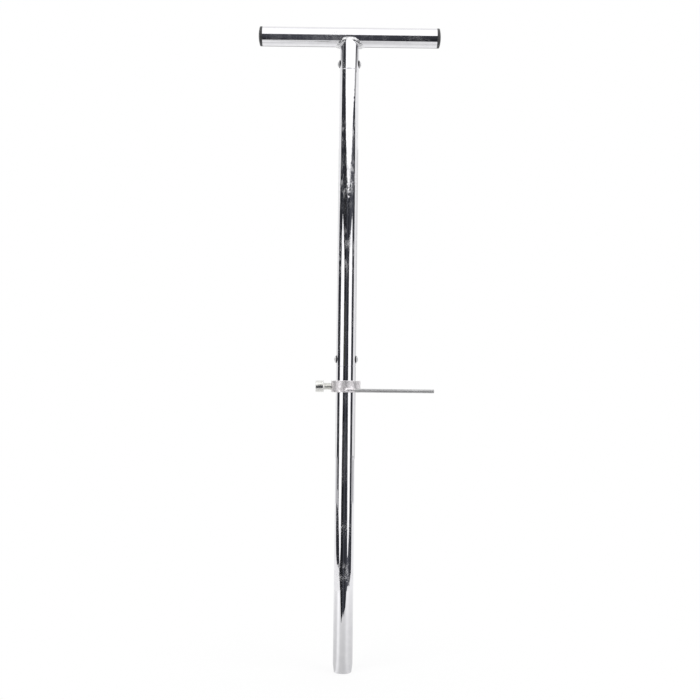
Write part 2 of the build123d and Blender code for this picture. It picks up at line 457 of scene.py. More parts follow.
class Effects:
    """The shader node groups that several finishes place with their own values."""

    def __init__(self) -> None:
        """Make the groups."""
        self.lay_lines = self._lay_lines()
        self.handling_marks = self._handling_marks()
        self.mottle = self._mottle()

    def _group(
        self, name: str, inputs: dict[str, float | tuple[float, ...]], outputs: Sequence[str]
    ) -> tuple[Nodes, bpy.types.Node, bpy.types.Node]:
        """Open a new node group.

        Args:
            name: Name of the group.
            inputs: Default of each named input, a number or a vector.
            outputs: Names of the value outputs.

        Returns:
            The wiring hand and the group's input and output nodes.
        """
        tree = bpy.data.node_groups.new(name, "ShaderNodeTree")
        for title, default in inputs.items():
            kind = "NodeSocketFloat" if isinstance(default, float) else "NodeSocketVector"
            tree.interface.new_socket(title, in_out="INPUT", socket_type=kind).default_value = default
        for title in outputs:
            tree.interface.new_socket(title, in_out="OUTPUT", socket_type="NodeSocketFloat")
        hand = Nodes(tree)
        return hand, hand.add("NodeGroupInput"), hand.add("NodeGroupOutput")

    def _lay_lines(self) -> bpy.types.NodeTree:
        """Fine lines along the lay, and waves that are deeper in some stretches, as heights.

        Returns:
            The node group.
        """
        inputs = {"Stretch": Lay.NONE.value, "Lines": 900.0}
        hand, given, out = self._group("lay_lines", inputs, ("Line Height", "Wave Height"))
        place = hand.place()
        along = hand.stretch(place, given.outputs["Stretch"])
        lines = hand.noise(along, given.outputs["Lines"], detail=3.0, rough=0.6)
        deeper = hand.ramp(hand.noise(place, scale=9.0, detail=1.0), low=0.42, high=0.68)
        waves = hand.noise(place, scale=200.0, detail=1.0)
        waves = hand.math("MULTIPLY", waves, hand.total(0.25, (deeper, 0.75)))
        hand.fill(out, {"Line Height": lines, "Wave Height": waves})
        return hand.tree

    def _handling_marks(self) -> bpy.types.NodeTree:
        """Specks in patches, and soft smears, as masks.

        Returns:
            The node group.
        """
        hand, given, out = self._group("handling_marks", {"Cover": 0.5}, ("Specks", "Smear"))
        place = hand.place()
        patch = hand.math("SUBTRACT", hand.noise(place, scale=22.0), 0.25)
        patch = hand.ramp(hand.total(patch, (given.outputs["Cover"], 0.5)), low=0.50, high=0.64)
        grain = hand.ramp(hand.noise(place, scale=900.0), low=0.48, high=0.66)
        specks = hand.math("MULTIPLY", patch, grain, clamp=True)
        smear = hand.noise(hand.stretch(place, (1.0, 1.0, 0.35)), scale=60.0, detail=4.0, rough=0.6)
        hand.fill(out, {"Specks": specks, "Smear": hand.ramp(smear, low=0.46, high=0.74)})
        return hand.tree

    def _mottle(self) -> bpy.types.NodeTree:
        """Blotches of a plated or cast skin, as a tone and a height.

        Returns:
            The node group.
        """
        inputs = {"Blotches": 300.0, "Grain": 2200.0}
        hand, given, out = self._group("mottle", inputs, ("Tone", "Height"))
        place = hand.place()
        blotch = hand.noise(place, given.outputs["Blotches"], detail=4.0, rough=0.62)
        grain = hand.noise(place, given.outputs["Grain"])
        height = hand.total(0.0, (grain, 0.3), (blotch, 0.7))
        hand.fill(out, {"Tone": hand.ramp(blotch, low=0.34, high=0.68), "Height": height})
        return hand.tree


def blank_material(name: str) -> tuple[bpy.types.Material, Nodes, bpy.types.Node]:
    """Make a material with a Principled shader.

    Args:
        name: Name of the material.

    Returns:
        The material, its wiring hand and the shader node.
    """
    material = bpy.data.materials.new(name)
    material.use_nodes = True
    shader = next(node for node in material.node_tree.nodes if node.type == "BSDF_PRINCIPLED")
    return material, Nodes(material.node_tree), shader


@dataclass(frozen=True)
class Smudges:
    """Streaky smudges where hands have held the shaft.

    Attributes:
        stretches: Height and half length of each smudged stretch.
        film: Share of the metal that a smudge hides.
        roughness: Added roughness.
        core: Share of the half length over which a smudge is at its full.
        streaks: Streaks per metre.
        drag: Stretch of the streaks' noise along the shaft.
    """

    stretches: tuple[Point2, ...]
    film: float = 0.40
    roughness: float = 0.08
    core: float = 0.2
    streaks: float = 330.0
    drag: float = 0.30

    def mask(self, hand: Nodes) -> Socket:
        """Mask the smudges.

        Args:
            hand: Wiring hand of the material.

        Returns:
            The mask's socket.
        """
        place = hand.place()
        height = hand.add("ShaderNodeSeparateXYZ", {"Vector": place}).outputs["Z"]
        held: Source = 0.0
        for middle, half in self.stretches:
            away = hand.math("ABSOLUTE", hand.math("SUBTRACT", height, middle))
            near = hand.math("SUBTRACT", 1.0, hand.ramp(away, self.core * half, half))
            held = hand.math("MAXIMUM", held, near)
        dragged = hand.stretch(place, (1.0, 1.0, self.drag))
        streaks = hand.noise(dragged, self.streaks, detail=3.0, rough=0.6)
        return hand.math("MULTIPLY", held, hand.ramp(streaks, low=0.47, high=0.66))


@dataclass(frozen=True)
class Grime:
    """Painted shade on the part of a piece that sits in the tube's wall: a dark band standing in for the
    shaded gap round a button in its hole.

    Attributes:
        reach: Distance from the shaft's axis within which it sits.
        colour: Colour of the painted shade.
        roughness: Added roughness.
        edge: Width over which it fades out.
        uneven: How far its edge wanders.
        grain: Grains of that edge per metre.
    """

    reach: float
    colour: Colour = (0.012, 0.012, 0.013)
    roughness: float = 0.5
    edge: float = 0.4 * MM
    uneven: float = 0.5 * MM
    grain: float = 900.0

    def mask(self, hand: Nodes) -> Socket:
        """Mask the painted shade.

        Args:
            hand: Wiring hand of the material.

        Returns:
            The mask's socket.
        """
        place = hand.place()
        across = hand.math("ABSOLUTE", hand.add("ShaderNodeSeparateXYZ", {"Vector": place}).outputs["X"])
        edge = hand.total(across, (hand.noise(place, self.grain), self.uneven))
        return hand.math("SUBTRACT", 1.0, hand.ramp(edge, self.reach, self.reach + self.edge))


@dataclass(frozen=True)
class MetalFinish:
    """A bare or plated metal surface.

    Attributes:
        label: Name of the material.
        bright: Colour of the clean metal.
        dull: Colour in its duller blotches.
        roughness: Roughness of the clean metal.
        blotch_roughness: Added roughness in the duller blotches.
        smear_roughness: Added roughness under smears.
        speck_roughness: Added roughness in specks.
        smear_film: Share of the metal that a smear's greasy film hides.
        speck_film: Share of the metal that a speck of dust hides.
        lay: Direction of its fine lines.
        line_depth: Depth of the fine lines, in metres.
        wave_depth: Depth of the waves, in metres.
        grain_depth: Depth of the blotches and grain, in metres.
        lines: Fine lines per metre.
        blotches: Blotches per metre.
        speck_cover: Share of the surface with specks, 0.5 for about half.
        smudges: Smudges of hands, where it has them.
        grime: Painted shade round the root of a button, standing in for the shaded gap in its hole, where it
            has some.
    """

    label: str
    bright: Colour
    dull: Colour
    roughness: float
    blotch_roughness: float = 0.02
    smear_roughness: float = 0.03
    speck_roughness: float = 0.2
    smear_film: float = 0.0
    speck_film: float = 0.0
    lay: Lay = Lay.NONE
    line_depth: float = 0.0
    wave_depth: float = 0.0
    grain_depth: float = 0.0
    lines: float = 900.0
    blotches: float = 300.0
    speck_cover: float = 0.4
    smudges: Smudges | None = None
    grime: Grime | None = None

    def material(self, effects: Effects) -> bpy.types.Material:
        """Make the finish.

        Args:
            effects: The shared node groups.

        Returns:
            The material.
        """
        material, hand, shader = blank_material(self.label)
        lay = {"Stretch": self.lay.value, "Lines": self.lines}
        lines = hand.add("ShaderNodeGroup", lay, node_tree=effects.lay_lines).outputs
        cover = {"Cover": self.speck_cover}
        marks = hand.add("ShaderNodeGroup", cover, node_tree=effects.handling_marks).outputs
        mottle = hand.add("ShaderNodeGroup", {"Blotches": self.blotches}, node_tree=effects.mottle).outputs
        tone, smear, specks = mottle["Tone"], marks["Smear"], marks["Specks"]
        rough = hand.total(self.roughness, (tone, self.blotch_roughness), (smear, self.smear_roughness))
        rough = hand.total(rough, (specks, self.speck_roughness))
        film = hand.total(1.0, (specks, -self.speck_film), (smear, -self.smear_film))
        colour = hand.mix(tone, self.bright, self.dull)
        if self.smudges:
            smudge = self.smudges.mask(hand)
            film = hand.total(film, (smudge, -self.smudges.film))
            rough = hand.total(rough, (smudge, self.smudges.roughness))
        # Painted shade: the button's root inside the tube's wall is darkened and dulled, standing in for the
        # shaded gap round it.
        if self.grime:
            grime = self.grime.mask(hand)
            film = hand.math("SUBTRACT", film, grime, clamp=True)
            rough = hand.total(rough, (grime, self.grime.roughness))
            colour = hand.mix(grime, colour, self.grime.colour)
        hand.fill(shader, {"Base Color": colour, "Roughness": rough, "Metallic": film})
        height = hand.total(0.0, (lines["Line Height"], self.line_depth / MM))
        height = hand.total(height, (lines["Wave Height"], self.wave_depth / MM))
        hand.bump(shader, hand.total(height, (mottle["Height"], self.grain_depth / MM)), MM)
        return material


@dataclass(frozen=True)
class PlasticFinish:
    """Moulded black plastic with a fine grain.

    Attributes:
        label: Name of the material.
        body: Colour of the plastic.
        worn: Colour where it is rubbed.
        roughness: Roughness between the grain.
        grain_depth: Depth of the grain, in metres.
        smear_roughness: Added roughness under smears.
        gloss: Specular level.
        blotches: Rubbed blotches per metre.
        grain: Grains per metre.
    """

    label: str
    body: Colour
    worn: Colour
    roughness: float
    grain_depth: float
    smear_roughness: float = 0.14
    gloss: float = 0.45
    blotches: float = 420.0
    grain: float = 5200.0

    def material(self, effects: Effects) -> bpy.types.Material:
        """Make the finish.

        Args:
            effects: The shared node groups.

        Returns:
            The material.
        """
        material, hand, shader = blank_material(self.label)
        skin = {"Blotches": self.blotches, "Grain": self.grain}
        mottle = hand.add("ShaderNodeGroup", skin, node_tree=effects.mottle).outputs
        marks = hand.add("ShaderNodeGroup", node_tree=effects.handling_marks).outputs
        colour = hand.mix(mottle["Tone"], self.body, self.worn)
        rough = hand.total(self.roughness, (marks["Smear"], self.smear_roughness))
        hand.fill(shader, {"Base Color": colour, "Roughness": rough, "Specular IOR Level": self.gloss})
        hand.bump(shader, mottle["Height"], self.grain_depth)
        return material


CHROME_BRIGHT: Colour = (0.825, 0.821, 0.841)
CHROME_DULL: Colour = (0.785, 0.781, 0.806)
CHROME_SHAFT = MetalFinish(
    "chrome_shaft", CHROME_BRIGHT, CHROME_DULL, 0.03, lay=Lay.SHAFT, smear_film=0.06, speck_film=0.30,
    line_depth=0.0006 * MM, wave_depth=0.05 * MM, speck_roughness=0.25, blotches=120.0, speck_cover=0.42,
    smudges=Smudges(((0.552, 0.040), (0.605, 0.022), (0.470, 0.035), (0.113, 0.011))),
)
CHROME_CROSSBAR = MetalFinish(
    "chrome_crossbar", CHROME_BRIGHT, CHROME_DULL, 0.03, lay=Lay.CROSSBAR, smear_film=0.09, speck_film=0.20,
    line_depth=0.0006 * MM, wave_depth=0.03 * MM, speck_roughness=0.20, blotches=120.0, speck_cover=0.34,
)
CHROME_WELD = MetalFinish(
    "chrome_weld", (0.86, 0.86, 0.87), (0.62, 0.62, 0.63), 0.10, blotch_roughness=0.26, grain_depth=0.10 * MM,
    blotches=650.0,
)
# The buttons carry painted shade at their roots, standing in for the shaded gap in their holes.
CHROME_BUTTON = MetalFinish(
    "chrome_button", (0.84, 0.84, 0.85), (0.72, 0.72, 0.73), 0.52, blotch_roughness=0.08, blotches=700.0,
    smear_film=0.25, grain_depth=0.01 * MM, grime=Grime(11.5 * MM),
)
ZINC_COLLAR = MetalFinish(
    "zinc_collar", (0.95, 0.92, 0.94), (0.70, 0.67, 0.685), 0.38, blotch_roughness=0.10, smear_film=0.20,
    grain_depth=0.24 * MM, blotches=300.0, speck_cover=0.6,
)
ZINC_SCREW = MetalFinish(
    "zinc_screw", (0.86, 0.86, 0.84), (0.70, 0.70, 0.67), 0.14, blotch_roughness=0.10, grain_depth=0.01 * MM,
    blotches=500.0,
)
WIRE_ROD = MetalFinish(
    "wire_rod", (0.51, 0.51, 0.515), (0.42, 0.42, 0.425), 0.50, blotch_roughness=0.04, lay=Lay.CROSSBAR,
    line_depth=0.0005 * MM, grain_depth=0.001 * MM, blotches=60.0,
)
DARK_SLEEVE = MetalFinish(
    "dark_sleeve", (0.16, 0.16, 0.165), (0.10, 0.10, 0.105), 0.42, line_depth=0.003 * MM, lines=1600.0,
)
SPRING_STRIP = MetalFinish(
    "spring_strip", (0.42, 0.43, 0.45), (0.32, 0.33, 0.36), 0.30, lay=Lay.SHAFT, line_depth=0.003 * MM,
)
PLUG_PLASTIC = PlasticFinish("plug_plastic", (0.026, 0.026, 0.028), (0.06, 0.06, 0.063), 0.40, 0.03 * MM)


# The probe


def dress(frame: dict, material: bpy.types.Material, *nodes: str) -> None:
    """Give CAD nodes a finish in all their material slots.

    Args:
        frame: The loaded CAD frame.
        material: The finish.
        nodes: Names of the nodes.
    """
    for name in nodes:
        for slot in frame["nodes"][name].material_slots:
            slot.material = material
        LOG.info("dressed %s in %s", name, material.name)


def fit_piece(obj: bpy.types.Object, material: bpy.types.Material, body: str, node: str) -> None:
    """Finish a new piece and let it stand for a CAD node.

    Args:
        obj: The piece, in place.
        material: Its finish.
        body: The CAD body it rides on.
        node: CAD node that it replaces.
    """
    obj.data.materials.append(material)
    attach(obj, body)
    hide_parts(node)
    LOG.info("made %s on %s in place of %s", obj.name, body, node)


@dataclass(frozen=True)
class Shaft:
    """The tubes in line with the sleeves, springs and buttons of their joints.

    Attributes:
        tubes: CAD nodes of the tubes.
        joints: Names of the joints, which lead the names of their nodes.
    """

    tubes: tuple[str, ...] = ("handle_socket", "extension_tube", "sampling_tube")
    joints: tuple[str, ...] = ("upper", "lower")

    def build(self, frame: dict, effects: Effects) -> None:
        """Dress the tubes and the pieces of both joints.

        Args:
            frame: The loaded CAD frame.
            effects: The shared node groups.
        """
        dress(frame, CHROME_SHAFT.material(effects), *self.tubes)
        button = CHROME_BUTTON.material(effects)
        sleeve = DARK_SLEEVE.material(effects)
        spring = SPRING_STRIP.material(effects)
        for joint in self.joints:
            dress(frame, sleeve, f"{joint}_sleeve")
            dress(frame, spring, f"{joint}_button_spring")
            dress(frame, button, *(f"{joint}_{side.label}_button" for side in Side))


@dataclass(frozen=True)
class EndPlug:
    """A moulded plug in an end of the crossbar.

    Attributes:
        dome: Rise of the head's face.
        rim_round: Rounding of the head's rim.
        stem_radius: Radius of the stem between its fins.
        fin_radius: Radius of the fins.
        hollow_radius: Radius of the stem's hollow.
        fins: Number of fins.
        dome_points: Points from the rim to the middle of the dome.
        points: Points around the plug.
        crease: Angle, in degrees, above which an edge stays sharp.
    """

    dome: float = 1.7 * MM
    rim_round: float = 0.8 * MM
    stem_radius: float = 8.6 * MM
    fin_radius: float = 9.4 * MM
    hollow_radius: float = 7.0 * MM
    fins: int = 4
    dome_points: int = 8
    points: int = 80
    crease: float = 28.0

    def make(self, side: Side) -> bpy.types.Object:
        """Make the plug of one end, on the CAD plug's place.

        Args:
            side: The end of the crossbar.

        Returns:
            The plug.
        """
        low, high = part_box(f"{side.label}_end_plug")
        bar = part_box("crossbar_tube")
        seat = bar[1].x if side is Side.RIGHT else bar[0].x
        top = high.x - seat if side is Side.RIGHT else seat - low.x
        profile = self.profile((high.z - low.z) / 2, top, high.x - low.x - top)
        return lathe(f"{side.label}_plug", profile, lying(bar, seat, side), self.points, crease=self.crease)

    def profile(self, radius: float, top: float, stem: float) -> list[Point2]:
        """Outline the plug from its hollow round the stem's fins to the middle of the dome.

        Args:
            radius: Radius of the head.
            top: Height of the dome's middle over the tube's end.
            stem: Length of the stem.

        Returns:
            Radius and height of each station.
        """
        sphere = (radius**2 + self.dome**2) / (2 * self.dome)
        face: list[Point2] = []
        for k in range(1, self.dome_points):
            reach = radius * (1 - k / self.dome_points)
            face.append((reach, top - sphere + math.sqrt(sphere**2 - reach**2)))
        pitch, bare = stem / self.fins, self.stem_radius
        finned: list[Point2] = []
        for k in reversed(range(self.fins)):
            base = -pitch * (k + 0.5)
            finned += [(bare, base - pitch / 2), (self.fin_radius, base), (bare, base)]
        rim = rounded_corner((radius, top - self.dome), (radius, 0.0), face[0], self.rim_round)
        hollow = [(0.0, 0.0), (self.hollow_radius, 0.0), (self.hollow_radius, -stem)]
        return [*hollow, *finned, (bare, 0.0), (radius, 0.0), *rim, *face, (0.0, top)]


@dataclass(frozen=True)
class HandleWeld:
    """The chromed weld bead between the crossbar and its socket.

    Attributes:
        bar_leg: Reach of the bead along the crossbar at the sides.
        socket_leg: Reach of the bead down the socket, at the front.
        leg_loss: Share of that reach that is gone at the sides.
        top: Depth of the bead's upper toe under the crossbar's axis, at the front.
        square: Exponent of the upper toe's line, 1 for the line of the cope and more for a squarer one.
        tip: Depth of the socket's trimmed tip under the axis.
        crown: Height of the bead's face over the line between its toes, at its shoulders.
        flat: Sine of the angle from the front to which the face has no crown.
        crown_growth: Growth of the crown with the sine beyond that.
        peak: Factor that brings the highest point of the face's curve to 1.
        root: Depth of the root at the front, and how much deeper it is at the sides.
        wobbles: Shares by which the toes wander.
        wobble_waves: Waves of that wandering around the socket.
        ripples: Ripples of the bead around the socket.
        ripple: Share of the crown that a ripple takes.
        ripple_drift: Times around the socket that the ripples crowd and spread.
        lump: Depth of the face's uneven lumps.
        lump_waves: Lumps around the socket and across the face.
        calm: Share of the unevenness at the front.
        lift: Room between the bead's toes and the tubes.
        stations: Cuts around the socket.
        face_points: Points of one cut from toe to toe.
        crease: Angle, in degrees, above which an edge stays sharp.
        seed: Seed of the unevenness.
    """

    bar_leg: float = 5.6 * MM
    socket_leg: float = 1.3 * MM
    leg_loss: float = 0.9
    top: float = 3.3 * MM
    square: float = 2.7
    tip: float = 4.6 * MM
    crown: float = 0.85 * MM
    flat: float = 0.33
    crown_growth: float = 5.0
    peak: float = 6.75
    root: Point2 = (0.1 * MM, 0.6 * MM)
    wobbles: Point2 = (0.12, 0.10)
    wobble_waves: tuple[Point2, ...] = ((3, 0), (11, 0))
    ripples: int = 44
    ripple: float = 0.6
    ripple_drift: int = 5
    lump: float = 0.16 * MM
    lump_waves: tuple[Point2, ...] = ((29, 7), (13, 9))
    calm: float = 0.2
    lift: float = 0.03 * MM
    stations: int = 320
    face_points: int = 13
    crease: float = 80.0
    seed: int = 7

    def make(self) -> bpy.types.Object:
        """Make the bead, on the CAD weld's place.

        Returns:
            The bead.
        """
        low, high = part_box("crossbar_tube")
        axis, radius = (low + high) / 2, (high.z - low.z) / 2
        phases = draw_phases(self.seed, 5)
        rings = [self.cut(math.tau * k / self.stations, axis, radius, phases) for k in range(self.stations)]
        return ring_mesh("handle_weld_bead", rings, looped=True, crease=self.crease)

    def cut(self, angle: float, axis: Vector, radius: float, phases: Sequence[float]) -> list[Vector]:
        """Points of one cut through the bead.

        Args:
            angle: Angle around the socket, from the front.
            axis: Middle of the crossbar.
            radius: Outer radius of both tubes.
            phases: Phases of the toes' two waves, of the ripples and of the two waves of lumps.

        Returns:
            The cut's points, from the crossbar's toe over the face to the socket's toe, then the root.
        """
        side, front = math.sin(angle), math.cos(angle)
        steep = abs(side)
        reach = radius + self.lift
        toe_waves = read_waves(self.wobble_waves, phases[:2], angle)
        wobble = sum(share * wave for share, wave in zip(self.wobbles, toe_waves))
        lean = steep**self.square
        under = math.atan2(math.hypot(lean, self.top / radius), math.sqrt(1 - lean**2))
        bar_out = Vector((0.0, math.copysign(math.cos(under), -front), -math.sin(under)))
        bar_toe = axis + bar_out * reach
        bar_toe.x = (radius + self.bar_leg * (1 + wobble) * steep**2) * side
        socket_out = Vector((side, -front, 0.0))
        socket_toe = axis + socket_out * reach
        leg = self.socket_leg * (1 - self.leg_loss * steep**2)
        socket_toe.z -= math.hypot(radius * side, self.tip) + leg * (1 - wobble)
        out = (bar_out + socket_out).normalized()
        rough = self.calm + (1 - self.calm) * steep
        ripple = abs(math.sin(self.ripples * angle / 2 + phases[2] + math.sin(self.ripple_drift * angle)))
        shoulder = self.crown_growth * max(0.0, steep - self.flat) * abs(front)
        crown = self.crown * shoulder * (1 + rough * (self.ripple * (ripple - 0.5) + wobble))
        points = []
        for k in range(self.face_points):
            t = k / (self.face_points - 1)
            lump = math.prod(read_waves(self.lump_waves, phases[3:], angle, t)) * 4 * t * (1 - t)
            height = crown * self.peak * t**2 * (1 - t) + self.lump * rough * lump
            points.append(bar_toe.lerp(socket_toe, t) + out * height)
        depth, deeper = self.root
        return [*points, bar_toe.lerp(socket_toe, 0.5) - out * (depth + deeper * steep)]


@dataclass(frozen=True)
class Handle:
    """The crossbar with its plugs and the weld to its socket.

    Attributes:
        plug: The plug of both ends.
        weld: The weld.
    """

    plug: EndPlug = EndPlug()
    weld: HandleWeld = HandleWeld()

    def build(self, frame: dict, effects: Effects) -> None:
        """Dress the crossbar and make its plugs and weld.

        Args:
            frame: The loaded CAD frame.
            effects: The shared node groups.
        """
        dress(frame, CHROME_CROSSBAR.material(effects), "crossbar_tube")
        plastic = PLUG_PLASTIC.material(effects)
        for side in Side:
            fit_piece(self.plug.make(side), plastic, "shaft", f"{side.label}_end_plug")
        fit_piece(self.weld.make(), CHROME_WELD.material(effects), "shaft", "handle_weld")


class Cut(Enum):
    """Forms of a station of the clamp screw."""

    POINT = "point"
    ROUND = "round"
    THREAD = "thread"
    HEX = "hex"


@dataclass(frozen=True)
class ClampScrew:
    """The cap screw that clamps the ring.

    Attributes:
        shank_radius: Outer radius of the thread.
        root_radius: Radius at the thread's root.
        pitch: Pitch of the thread.
        flank: Steepness of the thread's flanks, and how far they are cut down to a flat root.
        run_out: Turns over which the thread runs out under the head.
        lead: Chamfer of the thread's first turn.
        head_length: Length of the head.
        head_round: Rounding of the head's outer rim.
        round_steps: Steps of that rounding.
        neck_chamfer: Chamfer under the head.
        key_width: Width across the flats of the key's socket.
        key_depth: Depth of the socket.
        key_chamfer: Width and depth of the chamfer at its mouth.
        key_point: Depth of the cone at its bottom.
        turn_steps: Stations along one turn of the thread.
        points: Points around the screw.
        crease: Angle, in degrees, above which an edge stays sharp.
    """

    shank_radius: float = 4.0 * MM
    root_radius: float = 3.35 * MM
    pitch: float = 1.25 * MM
    flank: Point2 = (1.35, 0.12)
    run_out: float = 1.2
    lead: float = 1.0 * MM
    head_length: float = 9.0 * MM
    head_round: float = 0.7 * MM
    round_steps: int = 5
    neck_chamfer: float = 0.4 * MM
    key_width: float = 6.0 * MM
    key_depth: float = 4.5 * MM
    key_chamfer: Point2 = (0.35 * MM, 0.3 * MM)
    key_point: float = 0.8 * MM
    turn_steps: int = 8
    points: int = 144
    crease: float = 32.0

    def make(self) -> bpy.types.Object:
        """Make the screw, on the CAD screw's place.

        Returns:
            The screw.
        """
        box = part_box("stop_screw")
        low, high = box
        stations = self.stations(high.x - low.x, (high.z - low.z) / 2)
        profile = [(0.0 if form is Cut.POINT else 1.0, height) for height, form, _ in stations]
        return lathe(
            "clamp_screw_body", profile, lying(box, high.x, Side.LEFT), self.points,
            lambda station, angle: self.reach(*stations[station], angle), self.crease,
        )

    def stations(self, end: float, head_radius: float) -> list[tuple[float, Cut, float]]:
        """Cut the screw into stations, from its tip over the head to the bottom of the key's socket.

        Args:
            end: Length of the screw.
            head_radius: Radius of the head.

        Returns:
            Height, form and size of each station.
        """
        neck = end - self.head_length
        steps = int(neck / self.pitch * self.turn_steps)
        thread = [(neck * k / steps, Cut.THREAD, neck) for k in range(steps + 1)]
        rim = []
        for k in range(self.round_steps + 1):
            turn = k / self.round_steps * math.pi / 2
            height = end - self.head_round * (1 - math.sin(turn))
            rim.append((height, Cut.ROUND, head_radius - self.head_round * (1 - math.cos(turn))))
        flat = self.key_width / 2
        mouth, mouth_depth = self.key_chamfer
        return [
            (0.0, Cut.POINT, 0.0),
            *thread,
            (neck, Cut.ROUND, head_radius - self.neck_chamfer),
            (neck + self.neck_chamfer, Cut.ROUND, head_radius),
            *rim,
            (end, Cut.HEX, flat + mouth),
            (end - mouth_depth, Cut.HEX, flat),
            (end - self.key_depth, Cut.HEX, flat),
            (end - self.key_depth - self.key_point, Cut.POINT, 0.0),
        ]

    def reach(self, height: float, form: Cut, size: float, angle: float) -> float:
        """Radius of the screw at a station and angle.

        Args:
            height: Height above the screw's tip.
            form: Form of the station.
            size: Radius, half the width across the flats, or height of the neck where the thread ends.
            angle: Angle around the screw.

        Returns:
            The radius there.
        """
        if form is Cut.HEX:
            return size / math.cos(angle % (math.pi / 3) - math.pi / 6)
        if form is not Cut.THREAD:
            return size
        phase = (height / self.pitch - angle / math.tau) % 1.0
        steepness, root = self.flank
        flank = min(1.0, max(0.0, steepness * (1 - abs(2 * phase - 1)) - root))
        run_out = min(1.0, (size - height) / (self.run_out * self.pitch))
        depth = self.shank_radius - self.root_radius
        lead = self.shank_radius - self.lead + height
        return min(self.root_radius + depth * max(flank, 1 - run_out), lead)


@dataclass(frozen=True)
class RodWeld:
    """The lumpy weld that wraps the end of the rod and joins it to the ring.

    Attributes:
        square: Exponent of the weld's section, 2 for an ellipse and more for a squarer one.
        rise: Share of its length over which it rises to its full size.
        hold: Share of its length over which it covers the rod whole.
        fall: Exponent of its fall onto the rod after that.
        sunk: Share of the rod's radius at which its end goes into the rod.
        lump: Share of its size by which its hollows go in.
        lump_waves: Lumps around and along the weld.
        stations: Sections along the rod.
        count: Points around a section.
        crease: Angle, in degrees, above which an edge stays sharp.
        seed: Seed of the lumps.
    """

    square: float = 2.7
    rise: float = 0.25
    hold: float = 0.88
    fall: float = 1.5
    sunk: float = 0.9
    lump: float = 0.04
    lump_waves: tuple[Point2, ...] = ((3, 6), (0, 17), (2, 25))
    stations: int = 36
    count: int = 40
    crease: float = 80.0
    seed: int = 11

    def make(self) -> bpy.types.Object:
        """Make the weld, on the CAD weld's place.

        Returns:
            The weld.
        """
        low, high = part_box("stop_rod_weld")
        rod_low, rod_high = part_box("stop_rod")
        middle, half = (low + high) / 2, (high - low) / 2
        rod = (rod_low + rod_high) / 2
        sunk = self.sunk * (rod_high.z - rod_low.z) / 2
        phases = draw_phases(self.seed, 3)
        rings: list[list[Vector]] = [[Vector((low.x, middle.y, rod.z))]]
        for k in range(1, self.stations):
            t = k / self.stations
            rise = min(1.0, math.sqrt(t / self.rise))
            onto_rod = max(0.0, (t - self.hold) / (1 - self.hold)) ** self.fall
            ring = []
            for angle in (math.tau * j / self.count for j in range(self.count)):
                cos, sin = math.cos(angle), math.sin(angle)
                first, second, third = read_waves(self.lump_waves, phases, angle, t)
                lump = 1 - self.lump * (2 - first * second - third) / 2
                bulk = (abs(cos) ** self.square + abs(sin) ** self.square) ** (-1 / self.square)
                size = bulk * rise * lump
                wide = middle + Vector((0.0, half.y * size * cos, half.z * size * sin))
                narrow = rod + Vector((0.0, sunk * cos, sunk * sin))
                point = wide.lerp(narrow, onto_rod)
                point.x = low.x + (high.x - low.x) * t
                ring.append(point)
            rings.append(ring)
        rings.append([Vector((high.x, rod.y, rod.z))])
        return ring_mesh("rod_weld_bead", rings, crease=self.crease)


@dataclass(frozen=True)
class StopRod:
    """The drawn rod, melted thinner inside its weld and sawn off at its free end.

    Attributes:
        melt: Depth to which the weld has melted the rod.
        taper: Length over which the rod comes back to its full size at the weld's end.
        bare: Share of the taper's length by which it ends before the weld does.
        chamfer: Chamfer of the free end.
        count: Points around the rod.
    """

    melt: float = 0.55 * MM
    taper: float = 1.0 * MM
    bare: float = 0.7
    chamfer: float = 0.3 * MM
    count: int = 48

    def make(self) -> bpy.types.Object:
        """Make the rod, on the CAD rod's place.

        Returns:
            The rod.
        """
        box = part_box("stop_rod")
        low, high = box
        _, weld_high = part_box("stop_rod_weld")
        radius, length = (high.y - low.y) / 2, high.x - low.x
        full = weld_high.x - low.x - self.bare * self.taper
        thin = radius - self.melt
        profile = [
            (0.0, 0.0), (thin, 0.0), (thin, full - self.taper), (radius, full),
            (radius, length - self.chamfer), (radius - self.chamfer, length), (0.0, length),
        ]
        return lathe("stop_rod_wire", profile, lying(box, low.x, Side.RIGHT), self.count)


@dataclass(frozen=True)
class DepthStop:
    """The ring with its rod, weld and clamp screw.

    Attributes:
        screw: The clamp screw.
        rod: The rod.
        weld: The weld of the rod.
    """

    screw: ClampScrew = ClampScrew()
    rod: StopRod = StopRod()
    weld: RodWeld = RodWeld()

    def build(self, frame: dict, effects: Effects) -> None:
        """Dress the ring, and make the rod, its weld and the screw.

        Args:
            frame: The loaded CAD frame.
            effects: The shared node groups.
        """
        zinc = ZINC_COLLAR.material(effects)
        dress(frame, zinc, "stop_collar")
        fit_piece(self.rod.make(), WIRE_ROD.material(effects), "depth_stop", "stop_rod")
        fit_piece(self.weld.make(), zinc, "depth_stop", "stop_rod_weld")
        screw = ZINC_SCREW.material(effects)
        fit_piece(self.screw.make(), screw, "clamp_screw", "stop_screw")


# The studio


def bearing(azimuth: float, distance: float, height: float) -> Vector:
    """Place a point by its direction from the probe.

    Args:
        azimuth: Degrees from the camera's side, positive to the right.
        distance: Distance from the shaft's axis.
        height: Height above the floor.

    Returns:
        The point.
    """
    turn = math.radians(azimuth)
    return Vector((distance * math.sin(turn), -distance * math.cos(turn), height))


def spread(first: float, last: float, step: float) -> list[float]:
    """Even places from first to last with both ends, about a step apart."""
    count = round((last - first) / step)
    return [first + (last - first) * k / count for k in range(count + 1)]


def sampled(stops: Sequence[Point2], step: float = 2.0) -> list[Point2]:
    """Even places along a broken line, about a step apart, with their values."""
    return [(at, along_stops(stops, at)) for at in spread(stops[0][0], stops[-1][0], step)]


